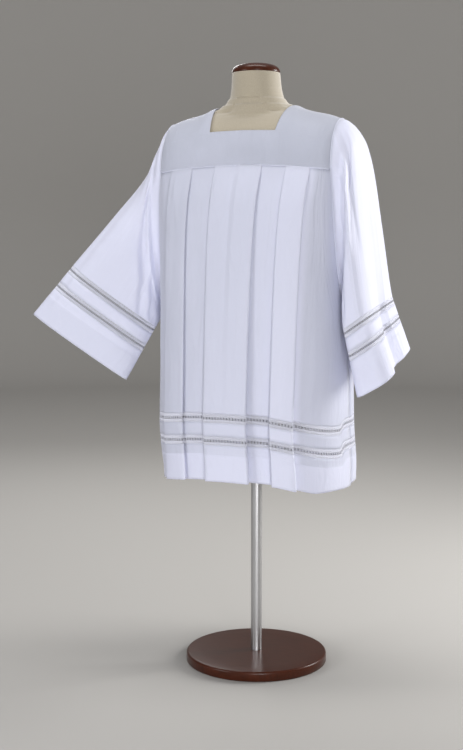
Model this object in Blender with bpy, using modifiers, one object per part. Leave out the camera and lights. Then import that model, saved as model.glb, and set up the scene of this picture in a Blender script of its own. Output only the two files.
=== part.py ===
"""A pleated surplice with a square yoke, wide sleeves and openwork bands, on a plain dress form.

Metres, +Z up. The front faces -Y and the wearer's left is +X. The origin is on the floor, at the middle of
the stand's base. Every cloth piece is a wall that follows sections worked out from the tables below.
"""

import math

import bmesh
import bpy
import numpy as np
from mathutils import Vector

# Cloth
CLOTH = 0.0012
LACE = 0.0010
SEAM_GAP = 0.0003
SIDE_GAP = 0.0002

# Pleated body: heights run up the cloth, from the hem's edge to the yoke seam
PANEL_HEIGHT = 0.80
HEM_Z = 0.505
FRONT_HEM_LIFT = 0.023
BACK_HEM_LIFT = 0.008
YOKE_SEAM_Z = 1.324
YOKE_SEAM_DROP = 0.014
UNDERARM_Z = 0.965
HEM_SHIFT = 0.010
HEM_SHIFT_HEIGHT = 0.16
# The front's hem hangs lower beside the wearer's left side seam: how much, and where it starts, is full, ends
HEM_DROOP = 0.018
DROOP_START = 0.10
DROOP_FULL = 0.245
DROOP_END = 0.255

BODY_COLUMNS = ("height", "half_width", "front", "back", "squareness")
BODY_SECTIONS = (
    (0.00, 0.2530, 0.204, 0.190, 2.6),
    (0.10, 0.2580, 0.202, 0.186, 2.6),
    (0.26, 0.2560, 0.197, 0.176, 2.6),
    (0.445, 0.2490, 0.190, 0.162, 2.9),
    (0.60, 0.2450, 0.179, 0.150, 3.5),
    (0.70, 0.2430, 0.163, 0.139, 4.3),
    (0.80, 0.2450, 0.127, 0.122, 5.3),
)

# A pleat's place across at the yoke and at the hem, the side that its fold faces, its step at the yoke and
# at the hem, and how far the cloth runs back under the fold:
# yoke_x, hem_x, faces, yoke_step, hem_step, under
FRONT_PLEATS = (
    (-0.190, -0.190, -1, 0.0052, 0.014, 0.016),
    (-0.129, -0.128, 1, 0.0052, 0.012, 0.016),
    (-0.065, -0.064, -1, 0.0056, 0.022, 0.020),
    (0.062, 0.052, 1, 0.0052, 0.026, 0.018),
    (0.126, 0.108, -1, 0.0052, 0.024, 0.018),
    (0.187, 0.162, 1, 0.0056, 0.020, 0.020),
)
BACK_PLEATS = (
    (-0.188, -0.181, -1, 0.0052, 0.018, 0.018),
    (-0.128, -0.120, 1, 0.0052, 0.022, 0.018),
    (-0.064, -0.060, -1, 0.0052, 0.024, 0.018),
    (0.064, 0.060, 1, 0.0052, 0.022, 0.018),
    (0.128, 0.120, -1, 0.0052, 0.020, 0.018),
    (0.188, 0.180, 1, 0.0052, 0.016, 0.018),
)
# One fold's path, from the sunken panel to the proud one: share of the run under, offset, share of the step
FOLD_PATH = (
    (0.0, -0.0070, 0.00),
    (1.0, -0.0022, 0.00),
    (1.0, 0.0006, 0.22),
    (1.0, -0.0022, 0.45),
    (0.0, 0.0022, 0.55),
    (0.0, -0.0006, 0.78),
    (0.0, 0.0026, 1.00),
)
CENTRE_FOLD_STEP = 0.0030
CENTRE_FOLD_WIDTH = 0.008
SIDE_COLUMNS = 4
SIDE_MARGIN = 0.012

# Openwork bands, measured up from the edge of the hem and of each cuff
HEM_DEPTH = 0.068
LOWER_LACE = (0.0925, 0.1155)
UPPER_LACE = (0.1495, 0.1725)

# Yoke
YOKE_HALF_WIDTH = 0.232
YOKE_PROUD = 0.0030
NECK_FRONT_Z = 1.413
NECK_BACK_Z = 1.440
NECK_FRONT_HALF = 0.089
NECK_SHOULDER_HALF = 0.108
SHOULDER_COLUMNS = ("x", "z")
SHOULDER_LINE = (
    (0.000, 1.4850),
    (0.108, 1.4806),
    (0.134, 1.4702),
    (0.162, 1.4624),
    (0.198, 1.4545),
    (0.232, 1.4430),
)

# Sleeves. A station is 0 at the armhole, 1 at the top of the upper band and 2 at the cuff's edge.
BAND_REACH = UPPER_LACE[1]
RING_POINTS = 28
SLEEVE_COLUMNS = ("station", "top_x", "top_y", "top_z", "under_x", "under_y", "under_z",
                  "front_depth", "back_depth", "waist", "squareness", "crease", "turn", "dip")
# The wearer's right sleeve is held out and forwards.
RAISED_SLEEVE = (
    (0.00, -0.2320, 0.000, 1.4430, -0.2505, 0.000, 0.965, 0.0985, 0.0985, 0.25, 2.0, 0.000, 0.0, 0.0),
    (0.08, -0.2500, 0.000, 1.4220, -0.2630, 0.000, 0.964, 0.0990, 0.0990, 0.26, 2.0, 0.000, 0.0, 0.0),
    (0.18, -0.2705, 0.000, 1.3830, -0.2690, -0.003, 0.957, 0.0980, 0.0980, 0.28, 2.0, 0.001, 2.0, 0.0),
    (0.34, -0.3040, -0.010, 1.3190, -0.2710, -0.011, 0.944, 0.0920, 0.0920, 0.31, 2.0, 0.003, 7.0, 0.0),
    (0.65, -0.3930, -0.054, 1.1990, -0.2730, -0.022, 0.925, 0.0760, 0.0760, 0.36, 2.1, 0.005, 17.0, 0.0),
    (1.00, -0.4960, -0.102, 1.0670, -0.2780, -0.038, 0.904, 0.0600, 0.0600, 0.40, 2.2, 0.006, 22.0, 0.0),
    (2.00, -0.5935, -0.150, 0.9356, -0.3290, -0.120, 0.765, 0.0320, 0.0320, 0.45, 2.2, 0.004, 22.6, 0.0),
)
# The wearer's left sleeve hangs beside the body.
HANGING_SLEEVE = (
    (0.00, 0.2320, 0.000, 1.4430, 0.2505, 0.000, 0.965, 0.0985, 0.0985, 0.25, 2.0, 0.000, 0.0, 0.00),
    (0.08, 0.2640, 0.000, 1.4290, 0.2630, 0.000, 0.964, 0.1000, 0.0960, 0.28, 2.1, 0.000, -2.0, 0.00),
    (0.18, 0.2820, 0.000, 1.3900, 0.2690, 0.000, 0.957, 0.1040, 0.0880, 0.32, 2.3, 0.001, -4.0, 0.03),
    (0.32, 0.2960, 0.000, 1.3300, 0.2710, 0.000, 0.951, 0.1090, 0.0800, 0.38, 2.6, 0.004, -7.0, 0.08),
    (0.60, 0.3150, 0.000, 1.1900, 0.2720, 0.000, 0.942, 0.1140, 0.0790, 0.44, 3.1, 0.007, -9.0, 0.14),
    (1.00, 0.3480, 0.000, 0.9800, 0.2740, 0.000, 0.928, 0.1140, 0.0800, 0.48, 3.6, 0.010, -8.0, 0.21),
    (2.00, 0.4010, 0.000, 0.8330, 0.3020, 0.000, 0.776, 0.1080, 0.0850, 0.50, 4.0, 0.014, -3.0, 0.40),
)
SLEEVE_MAIN_STATIONS = (0.0, 0.08, 0.18, 0.32, 0.48, 0.65, 0.82, 0.97)
ARMHOLE_BLEND = 0.18
CREASE_ANGLE = 27.0
CREASE_WIDTH = 12.0
# Soft folds of a sleeve, by degrees round the ring and stations along it:
# angle, angle_width, station, station_width, depth
RAISED_DRAPES = (
    (112.0, 42.0, 0.14, 0.09, 0.016),
    (122.0, 40.0, 0.46, 0.12, 0.015),
    (250.0, 40.0, 0.30, 0.12, 0.014),
)
HANGING_DRAPES = (
    (64.0, 19.0, 0.30, 0.26, 0.010),
    (116.0, 19.0, 0.40, 0.30, 0.009),
    (296.0, 20.0, 0.36, 0.30, 0.010),
    (244.0, 20.0, 0.60, 0.45, 0.009),
)

# Dress form
FORM_CLEARANCE = 0.0024
FORM_POINTS = 28
# z, half_width, half_depth
NECK_SECTIONS = (
    (1.474, 0.0940, 0.0660),
    (1.484, 0.0780, 0.0660),
    (1.500, 0.0690, 0.0660),
    (1.525, 0.0650, 0.0650),
    (1.566, 0.0625, 0.0625),
)
NECK_LEAN = -0.010
CAP_HEIGHT = 0.024
CAP_STEPS = 6
POLE_RADIUS = 0.015
BASE_RADIUS = 0.190
BASE_HEIGHT = 0.026
BASE_EDGE = 0.006
JOINT_GAP = 0.0003
# z, half_width, front, back
FORM_SECTIONS = (
    (0.790, 0.158, 0.112, 0.118),
    (0.860, 0.172, 0.120, 0.130),
    (0.940, 0.165, 0.116, 0.118),
    (1.030, 0.148, 0.110, 0.098),
    (1.130, 0.162, 0.120, 0.104),
    (1.230, 0.178, 0.128, 0.112),
    (1.310, 0.186, 0.116, 0.110),
)
FORM_SHOULDER_HALF = 0.205
FORM_SHOULDER_DEPTH = 0.112
FORM_SHOULDER_HEIGHTS = (1.375, 1.415, 1.438, 1.4505, 1.4585, 1.4655)

WHITE_CLOTH = (0.80, 0.81, 0.88, 1.0)
LACE_GREY = (0.60, 0.60, 0.62, 1.0)
FORM_LINEN = (0.72, 0.68, 0.56, 1.0)
CAP_WOOD = (0.22, 0.07, 0.03, 1.0)
POLE_STEEL = (0.55, 0.55, 0.56, 1.0)


def column(table, names, name):
    """One named column of a table, as an array."""
    return np.array([row[names.index(name)] for row in table], float)


def smooth_read(places, values, at):
    """Reads a table along a smooth curve through its rows, without overshoot."""
    at = float(np.clip(at, places[0], places[-1]))
    steps = np.diff(places)
    slopes = np.diff(values) / steps
    tangents = np.zeros(len(values))
    tangents[0], tangents[-1] = slopes[0], slopes[-1]
    for i in range(1, len(values) - 1):
        if slopes[i - 1] * slopes[i] > 0:
            tangents[i] = 2 * slopes[i - 1] * slopes[i] / (slopes[i - 1] + slopes[i])
    i = min(int(np.searchsorted(places, at, side="right")) - 1, len(steps) - 1)
    t = (at - places[i]) / steps[i]
    return float(
        (2 * t**3 - 3 * t**2 + 1) * values[i]
        + (t**3 - 2 * t**2 + t) * steps[i] * tangents[i]
        + (3 * t**2 - 2 * t**3) * values[i + 1]
        + (t**3 - t**2) * steps[i] * tangents[i + 1]
    )


def read_row(table, names, at, wanted):
    """Several columns of a table at one place along its first column."""
    places = column(table, names, names[0])
    return [smooth_read(places, column(table, names, name), at) for name in wanted]


def mix(a, b, share):
    return a + (b - a) * share


def smooth_step(value):
    value = min(max(value, 0.0), 1.0)
    return value * value * (3 - 2 * value)


def yoke_seam_z(x):
    return YOKE_SEAM_Z - YOKE_SEAM_DROP * (x / YOKE_HALF_WIDTH) ** 2


def hem_z(x, facing):
    """Height of the hem's edge. facing is -1 for the front and 1 for the back."""
    lift = FRONT_HEM_LIFT if facing < 0 else BACK_HEM_LIFT
    lifted = HEM_Z + lift * max(0.0, 1 - (x / BODY_SECTIONS[0][1]) ** 2)
    if facing > 0:
        return lifted
    inner = smooth_step((x - DROOP_START) / (DROOP_FULL - DROOP_START))
    outer = smooth_step((DROOP_END - x) / (DROOP_END - DROOP_FULL))
    return lifted - HEM_DROOP * inner * outer


def body_size(height, facing):
    """Half width, depth towards the facing side, and squareness of the body's section."""
    depth_name = "front" if facing < 0 else "back"
    return read_row(BODY_SECTIONS, BODY_COLUMNS, height, ("half_width", depth_name, "squareness"))


def section_angle(x, half_width, squareness):
    """The angle on the section, from its middle, whose point lies x across."""
    return math.copysign(math.asin(min(1.0, abs(x) / half_width) ** (squareness / 2)), x)


def section_point(angle, size):
    """A point (across, out) of the section, and its outward normal there."""
    half_width, depth, squareness = size
    power = 2 / squareness
    sine, cosine = abs(math.sin(angle)), max(0.0, math.cos(angle))
    across = math.copysign(half_width * sine**power, angle)
    out = depth * cosine**power
    normal = np.array([
        math.copysign((abs(across) / half_width) ** (squareness - 1) / half_width, angle),
        (out / depth) ** (squareness - 1) / depth,
    ])
    return np.array([across, out]), normal / np.linalg.norm(normal)


def armhole_heights():
    """Heights up the cloth of the armhole's seam points, from the yoke down to the underarm."""
    underarm = PANEL_HEIGHT * (UNDERARM_Z - HEM_Z) / (yoke_seam_z(YOKE_HALF_WIDTH) - HEM_Z)
    quarter = RING_POINTS // 4
    return [mix(PANEL_HEIGHT, underarm, math.sin(math.pi / 2 * i / quarter)) for i in range(quarter + 1)]


def armhole_depth(height, facing):
    """How far forward or back the panel's side edge lies at a height. It is 0 below the underarm."""
    underarm = armhole_heights()[-1]
    if height <= underarm:
        return 0.0
    half_width, depth, squareness = body_size(PANEL_HEIGHT, facing)
    widest = depth * (1 - (YOKE_HALF_WIDTH / half_width) ** squareness) ** (1 / squareness)
    drop = (PANEL_HEIGHT - height) / (PANEL_HEIGHT - underarm)
    return widest * math.sqrt(max(0.0, 1 - drop * drop))


def panel_edge_angle(height, facing):
    """The section angle of the panel's side edge at a height."""
    depth = body_size(height, facing)[1]
    return math.acos(min(1.0, armhole_depth(height, facing) / depth) ** (body_size(height, facing)[2] / 2))


def cloth_point(angle, step, height, facing):
    """A point of a panel: an angle round the section at a height, a step out from it."""
    place, normal = section_point(angle, body_size(height, facing))
    across, out = place + normal * step
    z = mix(hem_z(across, facing), yoke_seam_z(across), height / PANEL_HEIGHT)
    shift = HEM_SHIFT * (1 - smooth_step(height / HEM_SHIFT_HEIGHT))
    return Vector((across + shift, facing * max(out, SIDE_GAP), z))


def pleat_path(height, pleats):
    """(across, step) of the pleated cloth at a height, from one side to the other."""
    up = height / PANEL_HEIGHT
    path = []
    level = 0.0
    for number, (yoke_x, hem_x, faces, yoke_step, hem_step, under) in enumerate(pleats):
        x = mix(hem_x, yoke_x, up**2)
        step = mix(hem_step, yoke_step, up**0.8)
        points = [(x - faces * (share * under + extra), part * step) for share, extra, part in FOLD_PATH]
        if faces > 0:
            points.reverse()
        if number > 0:
            middle = (path[-1][0] + points[0][0]) / 2
            fold = CENTRE_FOLD_STEP * smooth_step(up) if number == len(pleats) // 2 else 0.0
            path.append((middle - CENTRE_FOLD_WIDTH / 2, level - fold))
            path.append((middle + CENTRE_FOLD_WIDTH / 2, level + fold * 0.4))
        path.extend(points)
        level = points[-1][1]
    return path


def panel_row(height, facing, pleats):
    """The cloth's points across a panel at one height, from the wearer's right to the left."""
    half_width, depth, squareness = body_size(height, facing)
    edge = panel_edge_angle(height, facing)
    path = pleat_path(height, pleats)
    first = section_angle(path[0][0] - SIDE_MARGIN, half_width, squareness)
    last = section_angle(path[-1][0] + SIDE_MARGIN, half_width, squareness)
    places = [(mix(-edge, first, i / SIDE_COLUMNS), 0.0) for i in range(SIDE_COLUMNS + 1)]
    places += [(section_angle(across, half_width, squareness), step) for across, step in path]
    places += [(mix(last, edge, i / SIDE_COLUMNS), 0.0) for i in range(SIDE_COLUMNS + 1)]
    return [cloth_point(angle, step, height, facing) for angle, step in places]


def shoulder_z(x):
    return smooth_read(
        column(SHOULDER_LINE, SHOULDER_COLUMNS, "x"),
        column(SHOULDER_LINE, SHOULDER_COLUMNS, "z"),
        abs(x),
    )


def yoke_depth(x, facing):
    """How far the yoke's lower edge lies from the middle plane, at a place across."""
    half_width, depth, squareness = body_size(PANEL_HEIGHT, facing)
    inside = 1 - min(1.0, abs(x) / half_width) ** squareness
    return depth * max(0.0, inside) ** (1 / squareness) + YOKE_PROUD


def yoke_point(x, angle, facing):
    """A point of the yoke: angle 0 is the pleat seam and 90 degrees the shoulder line."""
    low = yoke_seam_z(x) + SEAM_GAP
    z = mix(low, shoulder_z(x), math.sin(angle))
    y = facing * max(yoke_depth(x, facing) * math.cos(angle), SEAM_GAP * 0.6)
    return Vector((x, y, z))


def neck_angle(facing):
    """The yoke angle of the neck's straight front or back edge."""
    neck_z = NECK_FRONT_Z if facing < 0 else NECK_BACK_Z
    return math.asin((neck_z - YOKE_SEAM_Z) / (shoulder_z(0) - YOKE_SEAM_Z))


def armhole_ring(side):
    """The armhole's seam line, from the shoulder down the front, under the arm and up the back."""
    quarter = RING_POINTS // 4
    heights = armhole_heights()
    ring = []
    for i in range(RING_POINTS):
        facing = -1 if i <= RING_POINTS // 2 else 1
        down = min(i, RING_POINTS - i)
        if down < quarter:
            point = yoke_point(YOKE_HALF_WIDTH, math.pi / 2 * (1 - down / quarter), facing)
        else:
            height = heights[down - quarter]
            point = cloth_point(panel_edge_angle(height, facing), 0.0, height, facing)
        if down in (0, RING_POINTS // 2):
            point.y = 0.0
        ring.append(Vector((side * (point.x + CLOTH / 2 + SEAM_GAP), point.y, point.z)))
    return ring


def sleeve_ring(station, table, drapes, side):
    """One ring of a sleeve, from its top line round the front, the underarm line and the back."""
    if station > 1:
        values = [mix(a, b, station - 1) for a, b in zip(table[-2][1:], table[-1][1:])]
    else:
        values = read_row(table, SLEEVE_COLUMNS, station, SLEEVE_COLUMNS[1:])
    top, under = Vector(values[0:3]), Vector(values[3:6])
    front_depth, back_depth, waist, squareness, crease, turn, dip = values[6:]
    middle = top.lerp(under, waist)
    turn = math.radians(turn)
    forward = Vector((math.sin(turn), -math.cos(turn), -dip))
    blend = smooth_step(station / ARMHOLE_BLEND)
    seam = armhole_ring(side)
    power = 2 / squareness
    ring = []
    for i in range(RING_POINTS):
        angle = 2 * math.pi * i / RING_POINTS
        rise = math.copysign(abs(math.cos(angle)) ** power, math.cos(angle))
        reach = math.copysign(abs(math.sin(angle)) ** power, math.sin(angle))
        arm = (top - middle) * rise if rise > 0 else (middle - under) * rise
        point = middle + arm + forward * (reach * (front_depth if reach > 0 else back_depth))
        inward = (middle - point).normalized()
        away = (math.degrees(angle) - CREASE_ANGLE) / CREASE_WIDTH
        point += inward * (crease * math.exp(-away * away))
        for centre, width, at, reach_along, depth in drapes:
            away = ((math.degrees(angle) - centre) / width) ** 2 + ((station - at) / reach_along) ** 2
            point += inward * (depth * math.exp(-away))
        ring.append(seam[i].lerp(point, blend))
    return ring


def grid_mesh(name, rows, closed=False, skip=None):
    """A mesh over rows of points. closed joins each row's ends, and skip(row, column) leaves a face out."""
    build = bmesh.new()
    verts = [[build.verts.new(point) for point in row] for row in rows]
    across = len(rows[0])
    for r in range(len(rows) - 1):
        for c in range(across if closed else across - 1):
            if skip and skip(r, c):
                continue
            n = (c + 1) % across
            build.faces.new((verts[r][c], verts[r][n], verts[r + 1][n], verts[r + 1][c]))
    loose = [v for v in build.verts if not v.link_faces]
    bmesh.ops.delete(build, geom=loose, context="VERTS")
    mesh = bpy.data.meshes.new(name)
    build.to_mesh(mesh)
    build.free()
    return mesh


def material(name, colour, roughness, metallic=0.0):
    """A plain material with one colour."""
    made = bpy.data.materials.new(name)
    made.use_nodes = True
    shader = made.node_tree.nodes["Principled BSDF"]
    shader.inputs["Base Color"].default_value = colour
    shader.inputs["Roughness"].default_value = roughness
    shader.inputs["Metallic"].default_value = metallic
    made.diffuse_color = colour
    return made


def add_object(name, mesh, finish, home):
    piece = bpy.data.objects.new(name, mesh)
    piece.data.materials.append(finish)
    home.objects.link(piece)
    return piece


def cloth_wall(name, rows, thickness, finish, home, closed=False, skip=None, offset=0.0):
    """A wall of cloth over rows of points."""
    piece = add_object(name, grid_mesh(name, rows, closed, skip), finish, home)
    solid = piece.modifiers.new("thickness", "SOLIDIFY")
    solid.thickness = thickness
    solid.offset = offset
    solid.use_rim = True
    piece.data.shade_smooth()
    return piece


def band_pieces(stem):
    """Name, lower and upper distance from the edge, thickness and finish of each piece below the main one."""
    half = SEAM_GAP / 2
    return (
        (f"{stem}_lace_upper", UPPER_LACE[0] + half, UPPER_LACE[1] - half, LACE, "lace"),
        (f"{stem}_strip", LOWER_LACE[1] + half, UPPER_LACE[0] - half, CLOTH, "cloth"),
        (f"{stem}_lace_lower", LOWER_LACE[0] + half, LOWER_LACE[1] - half, LACE, "lace"),
    )


def build_panel(stem, facing, pleats, finishes, home):
    """A pleated front or back: the main cloth, the bands and the hem."""
    def rows(heights):
        made = [panel_row(height, facing, pleats) for height in heights]
        return made if facing < 0 else [row[::-1] for row in made]

    start = UPPER_LACE[1] + SEAM_GAP / 2
    top = PANEL_HEIGHT - SEAM_GAP
    main = [start, 0.26, 0.36] + armhole_heights()[:0:-1] + [top]
    cloth_wall(f"{stem}_panel", rows(main), CLOTH, finishes["cloth"], home)
    for name, low, high, thickness, finish in band_pieces(stem):
        cloth_wall(name, rows([low, high]), thickness, finishes[finish], home)
    hem = [0.0, HEM_DEPTH, LOWER_LACE[0] - SEAM_GAP / 2]
    cloth_wall(f"{stem}_hem", rows(hem), CLOTH, finishes["cloth"], home)


def build_sleeve(stem, table, drapes, side, finishes, home):
    """A sleeve: the main cloth from the armhole, the bands and the cuff."""
    def rows(stations):
        made = [sleeve_ring(station, table, drapes, side) for station in stations]
        return made if side < 0 else [row[::-1] for row in made]

    def station_at(distance):
        return 2 - distance / BAND_REACH

    main = list(SLEEVE_MAIN_STATIONS[:-1]) + [station_at(UPPER_LACE[1] + SEAM_GAP / 2)]
    cloth_wall(f"{stem}_sleeve", rows(main), CLOTH, finishes["cloth"], home, closed=True)
    for name, low, high, thickness, finish in band_pieces(stem):
        stations = [station_at(high), station_at(low)]
        cloth_wall(name, rows(stations), thickness, finishes[finish], home, closed=True)
    cuff = [station_at(LOWER_LACE[0] - SEAM_GAP / 2), station_at(HEM_DEPTH), 2.0]
    cloth_wall(f"{stem}_cuff", rows(cuff), CLOTH, finishes["cloth"], home, closed=True)


def build_yoke(name, facing, finish, home):
    """Half of the square yoke, from the pleat seam to the shoulder, with its side of the neck cut out."""
    neck = neck_angle(facing)
    angles = [neck * i / 3 for i in range(4)] + [mix(neck, math.pi / 2, i / 5) for i in range(1, 6)]
    shares = (0.0, 0.3, 0.65, 1.0)
    rows = []
    for angle in angles:
        above = max(0.0, (angle - neck) / (math.pi / 2 - neck))
        neck_half = mix(NECK_FRONT_HALF, NECK_SHOULDER_HALF, above)
        outer = [mix(YOKE_HALF_WIDTH, neck_half, share) for share in shares]
        inner = [neck_half * share for share in (0.5, 0.0, -0.5)]
        places = outer + inner + [-x for x in reversed(outer)]
        row = [yoke_point(x, angle, facing) for x in places]
        rows.append(row[::-1] if facing < 0 else row)
    first_gap, last_gap = len(shares) - 1, len(shares) + 2

    def in_neck(r, c):
        return r >= 3 and first_gap <= c <= last_gap

    cloth_wall(name, rows, CLOTH, finish, home, skip=in_neck)


def form_ring(half_width, front, back, z, shift=0.0):
    """A horizontal ring of the dress form."""
    ring = []
    for i in range(FORM_POINTS):
        angle = 2 * math.pi * i / FORM_POINTS
        depth = front if math.cos(angle) > 0 else back
        ring.append(Vector((half_width * math.sin(angle), shift - depth * math.cos(angle), z)))
    return ring


def shoulder_half_width(z):
    """How wide the form's shoulders are at a height, just under the yoke's shoulder line."""
    low, high = 0.0, FORM_SHOULDER_HALF
    if shoulder_z(high) - FORM_CLEARANCE - CLOTH / 2 >= z:
        return high
    for _ in range(40):
        middle = (low + high) / 2
        if shoulder_z(middle) - FORM_CLEARANCE - CLOTH / 2 >= z:
            low = middle
        else:
            high = middle
    return low


def shoulder_ring(z):
    """A ring of the form's shoulders, which follows the inside of the yoke."""
    under = FORM_CLEARANCE + CLOTH / 2
    half_width = shoulder_half_width(z)
    ring = []
    for i in range(FORM_POINTS):
        angle = 2 * math.pi * i / FORM_POINTS
        facing = -1 if math.cos(angle) > 0 else 1
        x = half_width * math.sin(angle)
        rise = (z - YOKE_SEAM_Z) / (shoulder_z(x) - under - YOKE_SEAM_Z)
        depth = (yoke_depth(x, facing) - YOKE_PROUD - 2 * under) * math.sqrt(max(0.0, 1 - rise * rise))
        end = math.sqrt(max(0.0, 1 - (x / FORM_SHOULDER_HALF) ** 4))
        depth = min(depth, FORM_SHOULDER_DEPTH * end)
        ring.append(Vector((x, facing * depth, z)))
    return ring


def loft_solid(name, rings, finish, home):
    """A closed solid through rings."""
    build = bmesh.new()
    verts = [[build.verts.new(point) for point in ring] for ring in rings]
    count = len(rings[0])
    for low, high in zip(verts, verts[1:]):
        for i in range(count):
            n = (i + 1) % count
            build.faces.new((low[i], low[n], high[n], high[i]))
    build.faces.new(verts[0][::-1])
    build.faces.new(verts[-1])
    bmesh.ops.recalc_face_normals(build, faces=build.faces)
    mesh = bpy.data.meshes.new(name)
    build.to_mesh(mesh)
    build.free()
    piece = add_object(name, mesh, finish, home)
    piece.data.shade_smooth()
    return piece


def turned_solid(name, profile, finish, home, y=0.0):
    """A solid turned about the vertical from (radius, height) points, down its outer side."""
    mesh = bpy.data.meshes.new(name)
    mesh.from_pydata([(r, 0, z) for r, z in profile], [(i, i + 1) for i in range(len(profile) - 1)], [])
    piece = add_object(name, mesh, finish, home)
    piece.location = (0, y, 0)
    screw = piece.modifiers.new("turn", "SCREW")
    screw.steps = screw.render_steps = 32
    screw.use_merge_vertices = True
    screw.merge_threshold = 0.0001
    return piece


def build_form(finishes, home):
    """The dress form: torso with its neck, wooden cap, pole and round base."""
    rings = [form_ring(half_width, front, back, z) for z, half_width, front, back in FORM_SECTIONS]
    rings += [shoulder_ring(z) for z in FORM_SHOULDER_HEIGHTS]
    neck_foot = NECK_SECTIONS[0][0]
    neck_top, neck_radius = NECK_SECTIONS[-1][:2]
    for z, half_width, half_depth in NECK_SECTIONS:
        lean = NECK_LEAN * (z - neck_foot) / (neck_top - neck_foot)
        rings.append(form_ring(half_width, half_depth, half_depth, z, lean))
    loft_solid("form_torso", rings, finishes["linen"], home)

    foot = neck_top + JOINT_GAP
    cap = [(0.0, foot + CAP_HEIGHT)]
    for i in range(1, CAP_STEPS):
        angle = math.pi / 2 * i / CAP_STEPS
        cap.append((neck_radius * math.sin(angle) ** 0.7, foot + CAP_HEIGHT * math.cos(angle) ** 0.8))
    cap += [(neck_radius, foot), (0.0, foot)]
    turned_solid("form_neck_cap", cap, finishes["wood"], home, NECK_LEAN)

    pole_top = FORM_SECTIONS[0][0] - JOINT_GAP
    pole_foot = BASE_HEIGHT + JOINT_GAP
    pole = [(0.0, pole_top), (POLE_RADIUS, pole_top), (POLE_RADIUS, pole_foot), (0.0, pole_foot)]
    turned_solid("form_pole", pole, finishes["steel"], home)
    base = [
        (0.0, BASE_HEIGHT),
        (BASE_RADIUS - BASE_EDGE, BASE_HEIGHT),
        (BASE_RADIUS, BASE_HEIGHT - BASE_EDGE),
        (BASE_RADIUS, 0.0),
        (0.0, 0.0),
    ]
    turned_solid("form_base", base, finishes["wood"], home)


def main():
    for old in list(bpy.data.objects):
        bpy.data.objects.remove(old)
    home = bpy.data.collections.new("surplice_on_dress_form")
    bpy.context.scene.collection.children.link(home)
    finishes = {
        "cloth": material("white_cloth", WHITE_CLOTH, 0.75),
        "lace": material("openwork", LACE_GREY, 0.85),
        "linen": material("form_linen", FORM_LINEN, 0.9),
        "wood": material("turned_wood", CAP_WOOD, 0.35),
        "steel": material("pole_steel", POLE_STEEL, 0.3, 1.0),
    }
    build_panel("front", -1, FRONT_PLEATS, finishes, home)
    build_panel("back", 1, BACK_PLEATS, finishes, home)
    build_sleeve("right", RAISED_SLEEVE, RAISED_DRAPES, -1, finishes, home)
    build_sleeve("left", HANGING_SLEEVE, HANGING_DRAPES, 1, finishes, home)
    build_yoke("yoke_front", -1, finishes["cloth"], home)
    build_yoke("yoke_back", 1, finishes["cloth"], home)
    build_form(finishes, home)


main()
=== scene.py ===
import math

import bpy
import numpy as np
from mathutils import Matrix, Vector


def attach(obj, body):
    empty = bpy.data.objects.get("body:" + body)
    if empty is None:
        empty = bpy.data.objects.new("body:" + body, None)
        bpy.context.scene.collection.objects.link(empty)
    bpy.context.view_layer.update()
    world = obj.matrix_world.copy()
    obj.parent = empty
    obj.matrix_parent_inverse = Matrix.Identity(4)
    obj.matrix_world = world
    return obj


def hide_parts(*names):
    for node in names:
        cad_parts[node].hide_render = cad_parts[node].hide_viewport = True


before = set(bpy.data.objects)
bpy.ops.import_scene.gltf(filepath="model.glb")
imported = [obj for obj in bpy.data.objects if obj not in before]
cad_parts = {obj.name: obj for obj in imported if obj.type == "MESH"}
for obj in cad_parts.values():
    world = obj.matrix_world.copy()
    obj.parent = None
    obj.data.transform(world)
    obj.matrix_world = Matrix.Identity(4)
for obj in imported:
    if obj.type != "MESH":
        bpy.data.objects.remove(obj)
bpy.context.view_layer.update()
print("frame loaded:", len(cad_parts), "solids")

# Metres throughout. The front faces -Y, the wearer's left is +X and the floor is at zero.

# The cut of the cloth, shared by all its pieces
garment = {
    "cloth": 0.0012,          # thickness of one layer
    "hemCloth": 0.0021,       # thickness where the hem is turned up
    "seamGap": 0.0003,
    "sideGap": 0.0002,
    "tuckedIn": 0.003,        # how far the pleats run up behind the yoke
    "hemDepth": 0.068,
    "lowerBand": (0.0925, 0.1155),   # openwork, measured up from the edge
    "upperBand": (0.1495, 0.1725),
    "turnedRows": 12,
    "plainRows": 4,
    "stripRows": 5,
    "stitchInset": 0.0022,    # from an edge of the cloth to the stitches beside it
    "panelInset": 0.0025,     # the same at the foot of the main cloth
    "sharp": 0.0005,          # half the height of a stitch line, and of the step where the hem is turned up
}

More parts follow.
